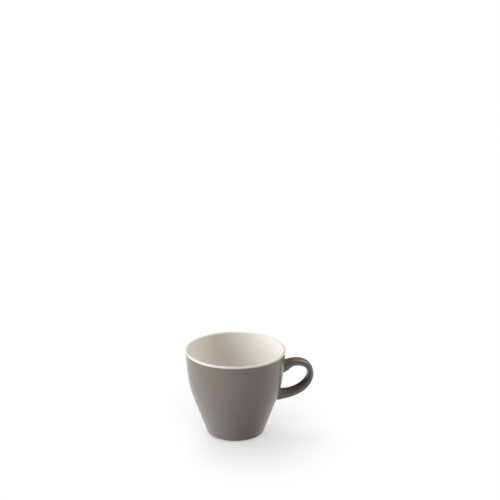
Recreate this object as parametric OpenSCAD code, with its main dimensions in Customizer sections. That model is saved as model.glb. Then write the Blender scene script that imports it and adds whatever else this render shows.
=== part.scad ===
// Cappuccino cup: a round cup whose wall bends part way up, with a loop handle.
// It is fired clay, glazed cream inside and over the lip, and taupe outside.
// The origin is the middle of the foot ring on the table, +Z is up and the handle points along +X.

/* [Cup] */
// Diameter over the rim
rim_d = 85; // [76:1:96]
// Height from the table to the top of the rim
cup_h = 76; // [68:1:88]
// Height of the bend between the lower and the upper wall
bend_h = 44; // [38:1:50]
// Lean of the upper wall from upright, in degrees
upper_lean = 5.3; // [3:0.1:8]
// Diameter at which the lower wall would meet the underside
base_d = 46.8; // [42:0.2:54]
// Radius that rounds the bend
bend_round = 95; // [70:5:120]
// Radius of the corner under the wall
base_round = 4.5; // [3:0.5:6]

/* [Wall] */
// Thickness of the rounded lip
lip_t = 2.4; // [2:0.1:3.2]
// Thickness of the wall at the bend, measured level
bend_wall_t = 3; // [2.6:0.1:4]
// Thickness of the wall beside the floor, measured level
low_wall_t = 4.2; // [3.4:0.1:5]
// Thickness of the floor
floor_t = 3; // [2.5:0.1:4]
// Radius of the corner between the inside wall and the floor
floor_round = 14; // [10:1:16]

/* [Foot ring] */
// Height of the underside of the wall above the table
underside_h = 0.8; // [0.5:0.1:1.5]
// Width of the foot ring
foot_w = 3; // [2:0.1:4]
// Distance from the foot ring to the start of the corner under the wall
foot_inset = 0.4; // [0.2:0.1:2]
// Rounding of the foot ring's two edges
foot_round = 0.3; // [0.1:0.05:0.4]
// Depth of the recess inside the foot ring
recess_h = 2; // [1.6:0.1:3]
// Radius of the corner between the recess and the foot ring
recess_round = 1; // [0.6:0.1:1.2]

/* [Glaze] */
// Thickness of every coat of glaze
glaze_t = 0.3; // [0.2:0.05:0.4]
// How far the cream glaze runs down outside, below the rounding of the lip
lip_glaze_run = 0.45; // [0.2:0.05:3]
// Height above the table at which the glaze of the recess was wiped off
wipe_h = 0.6; // [0.5:0.05:0.8]

/* [Handle] */
// Reach of the handle from the wall to its outermost point
handle_reach = 28; // [24:1:34]
// Height of the handle from its underside to its top
handle_tall = 36; // [32:1:40]
// Height of the middle of the handle above the table
handle_mid_h = 46; // [43:1:48]
// Width of the handle along its bow
handle_w = 10.5; // [8:0.5:14]
// Width of the handle's upper end at the wall
upper_end_w = 12; // [8:0.5:16]
// Width of the handle's lower end at the wall
lower_end_w = 12.5; // [8:0.5:16]
// Distance from the wall at which both ends start to widen
end_len = 14; // [8:1:18]
// How much thicker the upper end grows on its underside
upper_swell = 1.9; // [0:0.1:4]
// Distance from the wall at which the upper end starts to swell
upper_swell_len = 8.5; // [6:0.5:12]
// Distance from the wall at which the swelling is full
upper_swell_full = 3; // [1:0.5:5]
// Power of the handle's section: 2 gives an ellipse, and more is squarer
section_power = 2.5; // [2:0.1:4]
// Thickness of the bed of slip under each end of the handle
slip_t = 0.5; // [0.4:0.1:1]

/* [Hidden] */
$fn = 128;

// Straight pieces in each rounding of the cup's outline
bend_steps = 10;
corner_steps = 8;
lip_steps = 14;
edge_steps = 4;
// Rings along the handle, and sides of each ring
rings = 60;
sides = 20;

// Control points of the handle's outer and inner edge, from the upper end to the lower one.
// The first share is of the reach, out from the wall at that height. The second is of the
// handle's height, up from its middle.
outer_edge_shares = [[-0.5, 0.055], [-0.285, 0.3], [-0.06, 0.455], [0.525, 0.53], [0.965, 0.325],
                     [1.05, -0.12], [0.75, -0.43], [0.165, -0.515], [-0.13, -0.52], [-0.45, -0.52]];
inner_edge_shares = [[-0.5, -0.215], [-0.255, 0.02], [0.035, 0.26], [0.485, 0.36], [0.815, 0.21],
                     [0.805, -0.055], [0.495, -0.27], [-0.01, -0.27], [-0.315, -0.135], [-0.55, 0]];

// Outside of the wall
rim_r = rim_d / 2;
bend_r = rim_r - (cup_h - bend_h) * tan(upper_lean);
base_r = base_d / 2;
lower_lean = atan((bend_r - base_r) / (bend_h - underside_h));
lip_r = lip_t / 2;

// Inside of the wall
floor_h = recess_h + floor_t;
bend_in_r = bend_r - bend_wall_t;
floor_in_r = wall_r(floor_h) - low_wall_t;
lower_in_lean = atan((bend_in_r - floor_in_r) / (bend_h - floor_h));

// Centres of the roundings
base_mid = round_mid([base_r, underside_h], base_round, -90, -lower_lean);
bend_mid = round_mid([bend_r, bend_h], bend_round, -lower_lean, -upper_lean);
lip_mid = round_mid([rim_r, cup_h], lip_r, -upper_lean, 90);
lip_way = lip_mid - [bend_in_r, bend_h];
upper_in_lean = atan(lip_way[0] / lip_way[1]) - asin(lip_r / norm(lip_way));
bend_in_round = bend_round - bend_wall_t;
bend_in_mid = round_mid([bend_in_r, bend_h], bend_in_round, -lower_in_lean, -upper_in_lean);
floor_mid = round_mid([floor_in_r, floor_h], floor_round, -90, -lower_in_lean);

// Foot ring, and where the two glazes meet outside
foot_r = base_mid[0] - foot_inset;
recess_r = foot_r - foot_w;
recess_mid = [recess_r - recess_round, recess_h - recess_round];
seam_h = lip_mid[1] - lip_r * sin(upper_lean) - lip_glaze_run;

// Radius of the outside of the wall at a height, leaving out the rounding of the bend
function wall_r(h) = min(rim_r - (cup_h - h) * tan(upper_lean),
                         base_r + (h - underside_h) * tan(lower_lean));
function direction(angle) = [cos(angle), sin(angle)];
function backwards(list) = [for (i = [len(list) - 1:-1:0]) list[i]];
// Centre of the circle that rounds a corner between two lines that face the angles a and b
function round_mid(corner, radius, a, b) =
    corner - radius * (direction(a) + direction(b)) / (1 + direction(a) * direction(b));
function arc(mid, radius, a, b, steps) =
    [for (i = [0:steps]) mid + radius * direction(a + (b - a) * i / steps)];

// Lines of the cup's surface, each sunk by depth into the clay
function outside_line(depth) = concat(
    arc(base_mid, base_round - depth, -90, -lower_lean, corner_steps),
    arc(bend_mid, bend_round - depth, -lower_lean, -upper_lean, bend_steps));
function lip_line(depth) =
    arc(lip_mid, lip_r - depth, -upper_lean, 180 - upper_in_lean, lip_steps);
function inside_line(depth) = concat(
    arc(bend_in_mid, bend_in_round + depth, -upper_in_lean, -lower_in_lean, bend_steps),
    arc(floor_mid, floor_round + depth, -lower_in_lean, -90, corner_steps),
    [[0, floor_h - depth]]);
function recess_line(depth) = concat(
    [[0, recess_h + depth]],
    arc(recess_mid, recess_round + depth, 90, 0, corner_steps));
// Point on the upper wall where the two glazes meet
function seam_point(depth) =
    [rim_r - (cup_h - seam_h) * tan(upper_lean), seam_h] - depth * direction(-upper_lean);

// Point at share t of a smooth curve that eases past its control points
function curve_point(p, t) =
    let (spans = len(p) - 3, k = min(floor(t * spans), spans - 1), f = t * spans - k)
    (pow(1 - f, 3) * p[k] + (3 * pow(f, 3) - 6 * pow(f, 2) + 4) * p[k + 1]
     + (1 + 3 * f + 3 * pow(f, 2) - 3 * pow(f, 3)) * p[k + 2] + pow(f, 3) * p[k + 3]) / 6;
function edge_points(shares) = [for (s = shares)
    let (h = handle_mid_h + s[1] * handle_tall) [wall_r(h) + s[0] * handle_reach, h]];
function ease(x) = pow(x, 2) * (3 - 2 * x);
function rounded(x) = sign(x) * pow(abs(x), 2 / section_power);
outer_edge = edge_points(outer_edge_shares);
inner_edge = edge_points(inner_edge_shares);

// From 0 at the distance far from the wall to 1 at the distance near
function nearness(place, far, near) = min(1, max(0, (far - place[0] + wall_r(place[1])) / (far - near)));
function width_at(t, place) =
    handle_w + ((t < 0.5 ? upper_end_w : lower_end_w) - handle_w) * pow(nearness(place, end_len, 0), 2);
// Swelling of the underside of the upper end
function swell_at(t, place) =
    t < 0.5 ? upper_swell * ease(nearness(place, upper_swell_len, upper_swell_full)) : 0;
// One ring of the handle's surface at share t of its length, sunk by depth
function ring(t, depth) =
    let (a = curve_point(outer_edge, t), b = curve_point(inner_edge, t), place = (a + b) / 2,
         up = (a - b) / norm(a - b), low = b - up * swell_at(t, place), mid = (a + low) / 2,
         tall = norm(a - low) / 2 - depth, wide = width_at(t, place) / 2 - depth)
    [for (i = [0:sides - 1]) let (q = 360 * i / sides, in_plane = mid + up * tall * rounded(sin(q)))
        [in_plane[0], wide * rounded(cos(q)), in_plane[1]]];

// The handle as one swept body that runs on into the wall at both ends
module sweep(depth) {
    points = [for (i = [0:rings]) each ring(i / rings, depth)];
    skin = [for (i = [0:rings - 1], j = [0:sides - 1])
        let (k = (j + 1) % sides, a = i * sides, b = a + sides)
        each [[a + j, b + j, b + k], [a + j, b + k, a + k]]];
    upper_cap = [for (j = [0:sides - 1]) j];
    lower_cap = [for (j = [sides - 1:-1:0]) rings * sides + j];
    polyhedron(concat(points), concat(skin, [upper_cap, lower_cap]), convexity = 6);
}

// A body turned round the cup's axis from its outline, starting opposite the handle
module turned(outline) {
    rotate([0, 0, 180])
        rotate_extrude()
            polygon(outline);
}

// The cup as if it were filled to the brim, sunk by depth into the clay
module filled_cup(depth) {
    turned(concat([[0, underside_h + depth]], outside_line(depth), [seam_point(depth), [0, seam_h]]));
}

// The bed of slip under the handle, between the clay of the wall and the handle's cut end
module slip_beds() {
    difference() {
        intersection() {
            sweep(glaze_t);
            filled_cup(glaze_t - slip_t);
        }
        filled_cup(glaze_t);
    }
}

// Everything above or below the middle of the handle, on the handle's side
module handle_half(above) {
    far = rim_r + handle_reach;
    translate([0, -far, above ? handle_mid_h : 0])
        cube([far, 2 * far, above ? cup_h - handle_mid_h : handle_mid_h]);
}

module cup_body() {
    color("gainsboro")
        turned(concat(
            recess_line(glaze_t),
            arc([recess_r + glaze_t + foot_round, foot_round], foot_round, 180, 270, edge_steps),
            arc([foot_r - foot_round, foot_round], foot_round, -90, 0, edge_steps),
            [[foot_r, underside_h + glaze_t]],
            outside_line(glaze_t), lip_line(glaze_t), inside_line(glaze_t)));
}

module handle() {
    color("gainsboro")
        difference() {
            sweep(glaze_t);
            filled_cup(glaze_t - slip_t);
        }
}

module upper_slip_joint() {
    color("silver")
        intersection() {
            slip_beds();
            handle_half(true);
        }
}

module lower_slip_joint() {
    color("silver")
        intersection() {
            slip_beds();
            handle_half(false);
        }
}

module inner_glaze() {
    color("cornsilk")
        turned(concat(
            [seam_point(glaze_t), seam_point(0)],
            lip_line(0), inside_line(0),
            backwards(inside_line(glaze_t)), backwards(lip_line(glaze_t))));
}

module outer_glaze() {
    color("gray")
        difference() {
            turned(concat(
                [[foot_r, underside_h]], outside_line(0), [seam_point(0), seam_point(glaze_t)],
                backwards(outside_line(glaze_t)), [[foot_r, underside_h + glaze_t]]));
            sweep(0);
        }
}

module handle_glaze() {
    color("gray")
        difference() {
            sweep(0);
            filled_cup(glaze_t);
            sweep(glaze_t);
        }
}

module base_glaze() {
    color("gray")
        turned(concat(
            recess_line(0), [[recess_r, wipe_h], [recess_r + glaze_t, wipe_h]],
            backwards(recess_line(glaze_t))));
}

cup_body();
handle();
upper_slip_joint();
lower_slip_joint();
inner_glaze();
outer_glaze();
handle_glaze();
base_glaze();
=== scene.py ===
import math

import bmesh
import bpy
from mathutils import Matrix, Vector


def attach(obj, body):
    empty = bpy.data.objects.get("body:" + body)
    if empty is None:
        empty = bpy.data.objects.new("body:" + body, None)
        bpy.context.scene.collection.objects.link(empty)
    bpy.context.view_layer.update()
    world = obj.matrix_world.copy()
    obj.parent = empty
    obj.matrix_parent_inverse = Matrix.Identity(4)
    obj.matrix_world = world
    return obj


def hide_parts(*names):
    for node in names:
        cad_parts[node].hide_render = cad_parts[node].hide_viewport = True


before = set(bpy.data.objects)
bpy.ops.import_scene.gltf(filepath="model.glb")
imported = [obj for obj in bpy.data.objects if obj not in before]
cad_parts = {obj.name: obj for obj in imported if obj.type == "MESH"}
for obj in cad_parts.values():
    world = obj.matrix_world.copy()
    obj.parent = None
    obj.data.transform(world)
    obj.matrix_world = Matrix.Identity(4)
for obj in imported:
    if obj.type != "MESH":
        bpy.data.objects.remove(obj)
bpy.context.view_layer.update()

# Lengths are in millimetres and become metres by this factor, and angles are in degrees
MM = 0.001

# Directions in the cup's outline, out from its axis being 0
OUT = 0
UP = 90
IN = 180
DOWN = -90
FULL_TURN = 360

# The cup, with the sizes of its solids
RIM_R = 42.5
CUP_H = 76
BEND_H = 44
UPPER_LEAN = 5.3
BASE_R = 23.4
BEND_ROUND = 95
BASE_ROUND = 4.5
LIP_R = 1.2
BEND_WALL = 3
LOW_WALL = 4.2
FLOOR_T = 3
FLOOR_ROUND = 14
UNDERSIDE_H = 0.8
FOOT_W = 3
FOOT_INSET = 0.4
FOOT_ROUND = 0.3
RECESS_H = 2
RECESS_ROUND = 1
GLAZE_T = 0.3
LIP_GLAZE_RUN = 0.45
WIPE_H = 0.6

# The handle
HANDLE_REACH = 28
HANDLE_TALL = 36
HANDLE_MID_H = 46
HANDLE_W = 10.5
UPPER_END_W = 12
LOWER_END_W = 12.5
END_LEN = 14
UPPER_SWELL = 1.9
UPPER_SWELL_LEN = 8.5
UPPER_SWELL_FULL = 3
SECTION_POWER = 2.5
OUTER_EDGE_SHARES = [(-0.5, 0.055), (-0.285, 0.3), (-0.06, 0.455), (0.525, 0.53), (0.965, 0.325),
                     (1.05, -0.12), (0.75, -0.43), (0.165, -0.515), (-0.13, -0.52), (-0.45, -0.52)]
INNER_EDGE_SHARES = [(-0.5, -0.215), (-0.255, 0.02), (0.035, 0.26), (0.485, 0.36), (0.815, 0.21),
                     (0.805, -0.055), (0.495, -0.27), (-0.01, -0.27), (-0.315, -0.135), (-0.55, 0)]

# How finely the round shapes are divided
TURN_STEPS = 192
BASE_STEPS = 16
BEND_STEPS = 32
LIP_STEPS = 28
FLOOR_STEPS = 28
RECESS_STEPS = 12
FOOT_STEPS = 6
HANDLE_RINGS = 120
HANDLE_SIDES = 48
ROOT_STEPS = 8
# How often the search for the handle's end halves its step
HALVINGS = 40
# Points nearer than this are one point
MERGE = 0.002
# An edge with a wider angle than this is shaded as a sharp one
SHARP = 35
HANDLE_SHARP = 60

# The glaze rounds the corner where the handle meets the wall, and its edge is tucked under the wall's surface
ROOT_ROUND = 1.0
ROOT_TUCK = 0.06


# Outline of the cup

def direction(angle):
    return Vector((math.cos(math.radians(angle)), math.sin(math.radians(angle))))


def round_mid(corner, radius, a, b):
    """Centre of the circle that rounds a corner between two lines that face the angles a and b."""
    da, db = direction(a), direction(b)
    return Vector(corner) - radius * (da + db) / (1 + da.dot(db))


def arc(mid, radius, a, b, steps):
    return [mid + radius * direction(a + (b - a) * i / steps) for i in range(steps + 1)]


def tan(angle):
    return math.tan(math.radians(angle))


BEND_R = RIM_R - (CUP_H - BEND_H) * tan(UPPER_LEAN)
LOWER_LEAN = math.degrees(math.atan((BEND_R - BASE_R) / (BEND_H - UNDERSIDE_H)))


def straight_wall_r(h):
    """Radius of the outside at a height, leaving out the rounding of the bend."""
    return min(RIM_R - (CUP_H - h) * tan(UPPER_LEAN), BASE_R + (h - UNDERSIDE_H) * tan(LOWER_LEAN))


FLOOR_H = RECESS_H + FLOOR_T
BEND_IN_R = BEND_R - BEND_WALL
FLOOR_IN_R = straight_wall_r(FLOOR_H) - LOW_WALL
LOWER_IN_LEAN = math.degrees(math.atan((BEND_IN_R - FLOOR_IN_R) / (BEND_H - FLOOR_H)))
BASE_MID = round_mid((BASE_R, UNDERSIDE_H), BASE_ROUND, DOWN, -LOWER_LEAN)
BEND_MID = round_mid((BEND_R, BEND_H), BEND_ROUND, -LOWER_LEAN, -UPPER_LEAN)
LIP_MID = round_mid((RIM_R, CUP_H), LIP_R, -UPPER_LEAN, UP)
LIP_WAY = LIP_MID - Vector((BEND_IN_R, BEND_H))
UPPER_IN_LEAN = math.degrees(math.atan(LIP_WAY.x / LIP_WAY.y) - math.asin(LIP_R / LIP_WAY.length))
BEND_IN_ROUND = BEND_ROUND - BEND_WALL
BEND_IN_MID = round_mid((BEND_IN_R, BEND_H), BEND_IN_ROUND, -LOWER_IN_LEAN, -UPPER_IN_LEAN)
FLOOR_MID = round_mid((FLOOR_IN_R, FLOOR_H), FLOOR_ROUND, DOWN, -LOWER_IN_LEAN)
FOOT_R = BASE_MID.x - FOOT_INSET
RECESS_R = FOOT_R - FOOT_W
RECESS_MID = Vector((RECESS_R - RECESS_ROUND, RECESS_H - RECESS_ROUND))
SEAM_H = LIP_MID.y - LIP_R * math.sin(math.radians(UPPER_LEAN)) - LIP_GLAZE_RUN


def outside_line(depth):
    return (arc(BASE_MID, BASE_ROUND - depth, DOWN, -LOWER_LEAN, BASE_STEPS)
            + arc(BEND_MID, BEND_ROUND - depth, -LOWER_LEAN, -UPPER_LEAN, BEND_STEPS))


def lip_line(depth):
    return arc(LIP_MID, LIP_R - depth, -UPPER_LEAN, IN - UPPER_IN_LEAN, LIP_STEPS)


def inside_line(depth):
    return (arc(BEND_IN_MID, BEND_IN_ROUND + depth, -UPPER_IN_LEAN, -LOWER_IN_LEAN, BEND_STEPS)
            + arc(FLOOR_MID, FLOOR_ROUND + depth, -LOWER_IN_LEAN, DOWN, FLOOR_STEPS)
            + [Vector((0, FLOOR_H - depth))])


def recess_line(depth):
    return [Vector((0, RECESS_H + depth))] + arc(RECESS_MID, RECESS_ROUND + depth, UP, OUT, RECESS_STEPS)


def seam_point(depth, up=0):
    """Point on the upper wall where the two glazes meet, or up above that, sunk by depth."""
    h = SEAM_H + up
    return Vector((RIM_R - (CUP_H - h) * tan(UPPER_LEAN), h)) - depth * direction(-UPPER_LEAN)


def wall_r(h):
    """Radius of the outside of the glaze at a height, with the rounding of the bend."""
    if abs(h - BEND_H) < BEND_ROUND * tan((LOWER_LEAN - UPPER_LEAN) / 2):
        low = BEND_MID.y - BEND_ROUND * math.sin(math.radians(LOWER_LEAN))
        high = BEND_MID.y - BEND_ROUND * math.sin(math.radians(UPPER_LEAN))
        if low < h < high:
            return BEND_MID.x + math.sqrt(BEND_ROUND ** 2 - (h - BEND_MID.y) ** 2)
    return straight_wall_r(h)


# Mesh helpers

def piece_from(bm, name, material, body="root", sharp=SHARP):
    bmesh.ops.remove_doubles(bm, verts=bm.verts, dist=MERGE)
    bmesh.ops.recalc_face_normals(bm, faces=bm.faces)
    bmesh.ops.scale(bm, vec=(MM, MM, MM), verts=bm.verts)
    mesh = bpy.data.meshes.new(name)
    bm.to_mesh(mesh)
    bm.free()
    mesh.shade_smooth()
    mesh.set_sharp_from_angle(angle=math.radians(sharp))
    mesh.materials.append(material)
    piece = bpy.data.objects.new(name, mesh)
    bpy.context.collection.objects.link(piece)
    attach(piece, body)
    return piece


def turned(name, outline, material):
    """A solid of revolution round Z from a closed outline of (radius, height)."""
    bm = bmesh.new()
    verts = [bm.verts.new((p[0], 0, p[1])) for p in outline]
    edges = [bm.edges.new((a, b)) for a, b in zip(verts, verts[1:] + verts[:1])
             if max(a.co.x, b.co.x) > 0]
    bmesh.ops.spin(bm, geom=verts + edges, cent=(0, 0, 0), axis=(0, 0, 1), angle=2 * math.pi,
                   steps=TURN_STEPS, use_merge=True)
    return piece_from(bm, name, material)


# Materials: for each pattern the size of its features, how many layers of finer detail it has and, where it
# raises the surface, how high and how strongly
CLOUD_LAYERS = 3.0
TAUPE_CLOUD = 14
TAUPE_ROUGH = (0.23, 0.27)
TAUPE_IOR = 1.58
CREAM_CLOUD = 18
CREAM_ROUGH = (0.33, 0.39)
CREAM_IOR = 1.5
# The real grain of a satin glaze and tooth of fired clay are finer, and are drawn coarser so that they show
GRAIN = 0.9
GRAIN_LAYERS = 2.0
GRAIN_H = 0.02
GRAIN_STRENGTH = 0.15
TOOTH = 0.4
TOOTH_LAYERS = 4.0
TOOTH_H = 0.05
TOOTH_STRENGTH = 0.4
CLAY_ROUGH = 0.8
CLAY_IOR = 1.5
# The taupe glaze thins towards its upper edge, between these distances below it
THIN_FROM = 0.7
THIN_TO = 0.1
# Iron specks: the place of each, its radius and how strongly it shows, up to the core's share of the radius
CREAM_SPECKS = [((6.3, 37.1, 53.8), 1.1, 0.2), ((34.9, 16.6, 62.9), 0.9, 0.16)]
TAUPE_SPECKS = [((-15.6, -38.4, 64.6), 0.8, 0.25)]
SPECK_CORE = 0.5
# Sockets of the node that mixes colours: its share, its two colours and its result
MIX_SHARE = 0
MIX_FIRST = 6
MIX_SECOND = 7
MIX_RESULT = 2


def linear(hexa):
    """sRGB hex to a linear colour with alpha."""
    parts = [int(hexa[i:i + 2], 16) / 255 for i in (1, 3, 5)]
    return [c / 12.92 if c <= 0.04045 else ((c + 0.055) / 1.055) ** 2.4 for c in parts] + [1]


def add(tree, kind, settings=None, links=None):
    """Adds a node, sets its attributes and inputs, and links its inputs from other sockets."""
    node = tree.nodes.new(kind)
    for key, value in (settings or {}).items():
        if isinstance(key, str) and hasattr(node, key):
            setattr(node, key, value)
        else:
            node.inputs[key].default_value = value
    for key, socket in (links or {}).items():
        tree.links.new(socket, node.inputs[key])
    return node


def new_material(name):
    material = bpy.data.materials.new(name)
    material.use_nodes = True
    tree = material.node_tree
    tree.nodes.clear()
    output = add(tree, "ShaderNodeOutputMaterial")
    place = add(tree, "ShaderNodeTexCoord").outputs["Object"]
    return material, tree, output, place


def per_mm(size):
    """Texture scale at which one feature measures size millimetres."""
    return 1 / (size * MM)


def noise(tree, place, size, layers):
    """Soft noise from 0 to 1 whose features measure size millimetres."""
    node = add(tree, "ShaderNodeTexNoise", {"Scale": per_mm(size), "Detail": layers}, {"Vector": place})
    return node.outputs["Fac"]


def blend(tree, share, first, second):
    """A colour that goes from the first, a hex value or a socket, to the second, a hex value, with share."""
    node = add(tree, "ShaderNodeMix", {"data_type": "RGBA", MIX_SECOND: linear(second)}, {MIX_SHARE: share})
    if isinstance(first, str):
        node.inputs[MIX_FIRST].default_value = linear(first)
    else:
        tree.links.new(first, node.inputs[MIX_FIRST])
    return node.outputs[MIX_RESULT]


def between(tree, share, low, high):
    """A value that goes from low to high as share goes from 0 to 1."""
    return add(tree, "ShaderNodeMapRange", {"To Min": low, "To Max": high}, {"Value": share}).outputs[0]


def raised(tree, pattern, height, strength):
    """The surface as if the pattern stood height millimetres high on it."""
    node = add(tree, "ShaderNodeBump", {"Strength": strength, "Distance": height * MM}, {"Height": pattern})
    return node.outputs[0]


def with_specks(tree, place, colour, specks, hexa):
    """The colour with a soft-edged speck of another colour at each place."""
    for spot, radius, strength in specks:
        away = add(tree, "ShaderNodeVectorMath", {"operation": "DISTANCE", 1: [c * MM for c in spot]},
                   {0: place})
        share = add(tree, "ShaderNodeMapRange",
                    {"From Min": radius * MM, "From Max": radius * SPECK_CORE * MM, "To Max": strength},
                    {"Value": away.outputs["Value"]})
        colour = blend(tree, share.outputs[0], colour, hexa)
    return colour


def taupe_glaze():
    """Satin stoneware glaze, dipped and fired: soft broad shine, faint clouding, thin and tan at its edge."""
    material, tree, output, place = new_material("taupe satin glaze")
    cloud = noise(tree, place, TAUPE_CLOUD, CLOUD_LAYERS)
    grain = noise(tree, place, GRAIN, GRAIN_LAYERS)
    height = add(tree, "ShaderNodeSeparateXYZ", links={0: place}).outputs["Z"]
    thin = add(tree, "ShaderNodeMapRange",
               {"From Min": (SEAM_H - THIN_FROM) * MM, "From Max": (SEAM_H - THIN_TO) * MM},
               {"Value": height})
    edged = blend(tree, thin.outputs[0], blend(tree, cloud, "#7F766F", "#857C75"), "#8E7A68")
    shader = add(tree, "ShaderNodeBsdfPrincipled", {"IOR": TAUPE_IOR},
                 {"Base Color": with_specks(tree, place, edged, TAUPE_SPECKS, "#5E5148"),
                  "Roughness": between(tree, cloud, *TAUPE_ROUGH),
                  "Normal": raised(tree, grain, GRAIN_H, GRAIN_STRENGTH)})
    tree.links.new(shader.outputs[0], output.inputs["Surface"])
    return material


def cream_glaze():
    """Cream stoneware glaze, poured and fired: a duller shine than the taupe's, faintly warm, iron specks."""
    material, tree, output, place = new_material("cream glaze")
    cloud = noise(tree, place, CREAM_CLOUD, CLOUD_LAYERS)
    clouded = blend(tree, cloud, "#E8E4DC", "#ECE8E1")
    shader = add(tree, "ShaderNodeBsdfPrincipled", {"IOR": CREAM_IOR},
                 {"Base Color": with_specks(tree, place, clouded, CREAM_SPECKS, "#857868"),
                  "Roughness": between(tree, cloud, *CREAM_ROUGH)})
    tree.links.new(shader.outputs[0], output.inputs["Surface"])
    return material


def bare_clay():
    """Vitrified pale clay, cast and wiped: matte, with a fine tooth."""
    material, tree, output, place = new_material("bare fired clay")
    tooth = noise(tree, place, TOOTH, TOOTH_LAYERS)
    shader = add(tree, "ShaderNodeBsdfPrincipled", {"IOR": CLAY_IOR, "Roughness": CLAY_ROUGH},
                 {"Base Color": blend(tree, tooth, "#D3CCC0", "#E2DCD2"),
                  "Normal": raised(tree, tooth, TOOTH_H, TOOTH_STRENGTH)})
    tree.links.new(shader.outputs[0], output.inputs["Surface"])
    return material


TAUPE = taupe_glaze()
CREAM = cream_glaze()
CLAY = bare_clay()


# The cup's pieces

def make_cup_body():
    outline = (recess_line(GLAZE_T)
               + arc(Vector((RECESS_R + GLAZE_T + FOOT_ROUND, FOOT_ROUND)), FOOT_ROUND, IN, DOWN + FULL_TURN,
                     FOOT_STEPS)
               + arc(Vector((FOOT_R - FOOT_ROUND, FOOT_ROUND)), FOOT_ROUND, DOWN, OUT, FOOT_STEPS)
               + [Vector((FOOT_R, UNDERSIDE_H + GLAZE_T))]
               + outside_line(GLAZE_T) + lip_line(GLAZE_T) + inside_line(GLAZE_T))
    piece = turned("clay_cup", outline, CLAY)
    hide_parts("cup_body")


def make_inner_glaze():
    outline = ([seam_point(GLAZE_T), seam_point(GLAZE_T / 2), seam_point(0, GLAZE_T / 2)]
               + lip_line(0) + inside_line(0)
               + inside_line(GLAZE_T)[::-1] + lip_line(GLAZE_T)[::-1])
    piece = turned("cream_glaze_coat", outline, CREAM)
    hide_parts("inner_glaze")


def make_outer_glaze():
    outline = ([Vector((FOOT_R, UNDERSIDE_H))] + outside_line(0)
               + [seam_point(0, -GLAZE_T / 2), seam_point(GLAZE_T / 2), seam_point(GLAZE_T)]
               + outside_line(GLAZE_T)[::-1] + [Vector((FOOT_R, UNDERSIDE_H + GLAZE_T))])
    piece = turned("taupe_glaze_coat", outline, TAUPE)
    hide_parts("outer_glaze")


def make_base_glaze():
    outline = (recess_line(0) + [Vector((RECESS_R, WIPE_H)), Vector((RECESS_R + GLAZE_T, WIPE_H))]
               + recess_line(GLAZE_T)[::-1])
    piece = turned("recess_glaze_coat", outline, TAUPE)
    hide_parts("base_glaze")


# The handle. A share of its length runs from 0 in the wall at the upper root to 1 at the lower, and a turn
# round its section starts from its +Y side
MIDWAY = 0.5
OUTER_TURN = 90
INNER_TURN = 270


def curve_point(points, t):
    """Point at share t of a uniform cubic B-spline, of which four control points shape each span."""
    spans = len(points) - 3
    k = min(int(t * spans), spans - 1)
    f = t * spans - k
    a, b, c, d = points[k:k + 4]
    return ((1 - f) ** 3 * a + (3 * f ** 3 - 6 * f ** 2 + 4) * b
            + (1 + 3 * f + 3 * f ** 2 - 3 * f ** 3) * c + f ** 3 * d) / 6


def edge_points(shares):
    heights = [HANDLE_MID_H + up * HANDLE_TALL for _, up in shares]
    return [Vector((straight_wall_r(h) + out * HANDLE_REACH, h)) for (out, _), h in zip(shares, heights)]


def curve_length(points):
    line = [curve_point(points, i / HANDLE_RINGS) for i in range(HANDLE_RINGS + 1)]
    return sum((b - a).length for a, b in zip(line, line[1:]))


OUTER_EDGE = edge_points(OUTER_EDGE_SHARES)
INNER_EDGE = edge_points(INNER_EDGE_SHARES)
HANDLE_LEN = curve_length(OUTER_EDGE)


def nearness(place, far, near=0):
    """From 0 at the distance far from the wall to 1 at the distance near."""
    return min(1, max(0, (far - place.x + straight_wall_r(place.y)) / (far - near)))


def eased(share):
    """The share from 0 to 1, with a soft start and a soft end."""
    return share ** 2 * (3 - 2 * share)


def handle_point(t, turn):
    """Point of the handle's surface at share t of its length, turn degrees round its section."""
    a, b = curve_point(OUTER_EDGE, t), curve_point(INNER_EDGE, t)
    place = (a + b) / 2
    up = (a - b).normalized()
    near = nearness(place, UPPER_SWELL_LEN, UPPER_SWELL_FULL)
    low = b - up * (UPPER_SWELL * eased(near) if t < MIDWAY else 0)
    end_w = UPPER_END_W if t < MIDWAY else LOWER_END_W
    wide = HANDLE_W + (end_w - HANDLE_W) * nearness(place, END_LEN) ** 2
    s, c = math.sin(math.radians(turn)), math.cos(math.radians(turn))
    rise = math.copysign(abs(s) ** (2 / SECTION_POWER), s)
    across = math.copysign(abs(c) ** (2 / SECTION_POWER), c)
    spot = (a + low) / 2 + up * ((a - low).length / 2) * rise
    return Vector((spot.x, wide / 2 * across, spot.y))


def above_wall(point):
    return math.hypot(point.x, point.y) - wall_r(point.z)


def meet_wall(turn, inside, outside):
    """Share of the handle's length at which its line at turn comes out of the wall."""
    for _ in range(HALVINGS):
        middle = (inside + outside) / 2
        if above_wall(handle_point(middle, turn)) < 0:
            inside = middle
        else:
            outside = middle
    return outside


def onto_wall(point, depth=0):
    """The point moved level onto the wall, and depth into it."""
    flat = Vector((point.x, point.y, 0))
    return flat.normalized() * (wall_r(point.z) - depth) + Vector((0, 0, point.z))


def root_points(turn, root, step):
    """Points of the glaze's rounding between the wall and the handle's line at turn, from the wall up."""
    corner, end = handle_point(root, turn), handle_point(root + step, turn)
    square = Vector((corner.x, corner.y, 0)).normalized()
    away = corner - (handle_point(root, OUTER_TURN) + handle_point(root, INNER_TURN)) / 2
    away = (away - square * away.dot(square)).normalized()
    start, middle = onto_wall(corner + away * ROOT_ROUND), onto_wall(corner)
    rounding = [start * (1 - s) ** 2 + middle * 2 * s * (1 - s) + end * s ** 2
                for s in (i / ROOT_STEPS for i in range(ROOT_STEPS))]
    tucked = onto_wall(corner + away * (ROOT_ROUND + ROOT_TUCK), ROOT_TUCK)
    return [onto_wall(corner, GLAZE_T), tucked] + rounding


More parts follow.
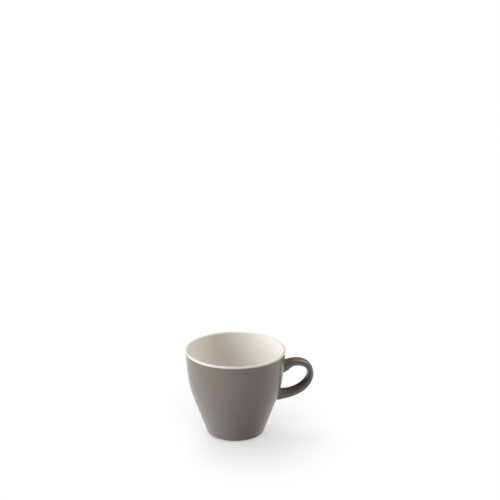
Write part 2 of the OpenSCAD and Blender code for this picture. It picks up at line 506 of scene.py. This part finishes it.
def handle_column(turn):
    """Points along the handle's line at turn, from one root to the other."""
    first, last = meet_wall(turn, 0, MIDWAY), meet_wall(turn, 1, MIDWAY)
    step = ROOT_ROUND / HANDLE_LEN
    a, b = first + step, last - step
    bow = [handle_point(a + (b - a) * i / HANDLE_RINGS, turn) for i in range(HANDLE_RINGS + 1)]
    return root_points(turn, first, step) + bow + root_points(turn, last, -step)[::-1]


def make_handle_glaze():
    """A ring of the handle's section, drawn out from one root to the other and closed at both ends."""
    columns = [handle_column(FULL_TURN * j / HANDLE_SIDES) for j in range(HANDLE_SIDES)]
    bm = bmesh.new()
    side = bm.verts.layers.int.new("side")
    ring = bmesh.ops.create_circle(bm, radius=1, segments=HANDLE_SIDES)["verts"]
    for j, v in enumerate(ring):
        v[side] = j
        v.co = columns[j][0]
    edges = bm.edges[:]
    for k in range(1, len(columns[0])):
        drawn = bmesh.ops.extrude_edge_only(bm, edges=edges)["geom"]
        ring = {v for v in drawn if isinstance(v, bmesh.types.BMVert)}
        edges = [e for e in drawn if isinstance(e, bmesh.types.BMEdge) and ring.issuperset(e.verts)]
        for v in ring:
            v.co = columns[v[side]][k]
    bmesh.ops.holes_fill(bm, edges=[e for e in bm.edges if e.is_boundary])
    piece = piece_from(bm, "handle_glaze_coat", TAUPE, sharp=HANDLE_SHARP)
    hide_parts("handle_glaze")


make_cup_body()
make_inner_glaze()
make_outer_glaze()
make_base_glaze()
make_handle_glaze()
for node in ("handle", "upper_slip_joint", "lower_slip_joint"):
    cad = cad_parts[node]
    cad.data.materials.clear()
    cad.data.materials.append(CLAY)


# Camera: a long lens that looks down at 19 degrees, with the handle turned away from it by 12 degrees. It aims
# past the cup, which stands below the middle of the picture
CAMERA_TURN = -12
CAMERA_RISE = 19.18
CAMERA_FAR = 2381.9
AIM_RIGHT = 12.3
AIM_H = 164.41
LENS = 205.74
FILM = 36


def make_camera():
    turn, rise = math.radians(CAMERA_TURN), math.radians(CAMERA_RISE)
    right = Vector((math.cos(turn), math.sin(turn), 0))
    back = Vector((math.sin(turn) * math.cos(rise), -math.cos(turn) * math.cos(rise), math.sin(rise)))
    aim = right * AIM_RIGHT + Vector((0, 0, AIM_H))
    data = bpy.data.cameras.new("camera")
    data.lens = LENS
    data.sensor_width = FILM
    camera = bpy.data.objects.new("camera", data)
    camera.location = (aim + back * CAMERA_FAR) * MM
    camera.rotation_euler = (-back).to_track_quat("-Z", "Y").to_euler()
    bpy.context.collection.objects.link(camera)
    bpy.context.scene.camera = camera


# Studio: soft lamps a long way off. Each has its turn round the cup from +X, its rise, the width of the sky
# that it fills, its strength and its colour: the cup's left side is lit a little cooler than its right
COOL = (0.98, 1.0, 1.03)
WARM = (1.03, 1.0, 0.96)
WHITE = (1, 1, 1)
CUP_LAMPS = [("left_window", 150, 8, 30, 0.8, COOL),
             ("left_softbox", 195, 20, 38, 2.1, COOL),
             ("left_top_softbox", 178, 54, 52, 0.95, COOL),
             ("right_softbox", 0, 35, 44, 1.05, WARM),
             ("right_top_softbox", 0, 55, 50, 1.0, WARM)]
# The floor has lamps of its own, so that the cup's shadow is short and soft and falls towards the viewer
FLOOR_LAMPS = [("floor_low_softbox", 80, 20, 24, 0.27, WHITE),
               ("floor_back_softbox", 103, 60, 30, 0.38, WHITE),
               ("floor_back_window", 120, 60, 70, 0.92, WHITE),
               ("floor_top_softbox", 80, 78, 66, 0.58, WHITE),
               ("floor_front_softbox", 258, 50, 60, 1.3, WHITE)]
# The room's own faint light
ROOM_LIGHT = 0.02
# Half the side of the floor, its grey, and the brightness that is added where it is seen and lights nothing
FLOOR_HALF = 3000
FLOOR_GREY = 0.57
FLOOR_LIFT = 0.5


def floor_group(name, floor, state):
    """A group of the floor alone, for lamps that light only it (INCLUDE) or all but it (EXCLUDE)."""
    group = bpy.data.collections.new(name)
    group.objects.link(floor)
    group.collection_objects[0].light_linking.link_state = state
    return group


def make_lamps(lamps, receivers):
    for name, turn, rise, wide, strength, colour in lamps:
        data = bpy.data.lights.new(name, "SUN")
        data.angle = math.radians(wide)
        data.energy = strength
        data.color = colour
        lamp = bpy.data.objects.new(name, data)
        a, e = math.radians(turn), math.radians(rise)
        way = Vector((math.cos(a) * math.cos(e), math.sin(a) * math.cos(e), math.sin(e)))
        lamp.rotation_euler = (-way).to_track_quat("-Z", "Y").to_euler()
        lamp.light_linking.receiver_collection = receivers
        bpy.context.collection.objects.link(lamp)


def seen_directly(tree):
    """1 for rays from the camera, off a shiny surface or through glass, 0 for light that falls on things."""
    path = add(tree, "ShaderNodeLightPath")
    first = add(tree, "ShaderNodeMath", {"operation": "MAXIMUM"},
                {0: path.outputs["Is Camera Ray"], 1: path.outputs["Is Glossy Ray"]})
    both = add(tree, "ShaderNodeMath", {"operation": "MAXIMUM"},
               {0: first.outputs[0], 1: path.outputs["Is Transmission Ray"]})
    return both.outputs[0]


def make_world():
    world = bpy.data.worlds.new("studio")
    bpy.context.scene.world = world
    world.use_nodes = True
    tree = world.node_tree
    tree.nodes.clear()
    light = add(tree, "ShaderNodeBackground", {"Color": (1, 1, 1, 1), "Strength": ROOM_LIGHT})
    output = add(tree, "ShaderNodeOutputWorld")
    tree.links.new(light.outputs[0], output.inputs["Surface"])


def make_floor():
    material, tree, output, _ = new_material("white paper floor")
    lift = add(tree, "ShaderNodeMath", {"operation": "MULTIPLY", 1: FLOOR_LIFT}, {0: seen_directly(tree)})
    paper = add(tree, "ShaderNodeBsdfPrincipled",
                {"Base Color": (FLOOR_GREY, FLOOR_GREY, FLOOR_GREY, 1), "Roughness": 1.0,
                 "Specular IOR Level": 0.0, "Emission Color": (1, 1, 1, 1)},
                {"Emission Strength": lift.outputs[0]})
    tree.links.new(paper.outputs[0], output.inputs["Surface"])
    bm = bmesh.new()
    bmesh.ops.create_grid(bm, x_segments=1, y_segments=1, size=FLOOR_HALF * MM)
    mesh = bpy.data.meshes.new("floor")
    bm.to_mesh(mesh)
    bm.free()
    mesh.materials.append(material)
    floor = bpy.data.objects.new("floor", mesh)
    bpy.context.collection.objects.link(floor)
    return floor


make_camera()
make_world()
FLOOR = make_floor()
make_lamps(CUP_LAMPS, floor_group("all_but_the_floor", FLOOR, "EXCLUDE"))
make_lamps(FLOOR_LAMPS, floor_group("the_floor_alone", FLOOR, "INCLUDE"))
bpy.context.scene.view_settings.view_transform = "Standard"
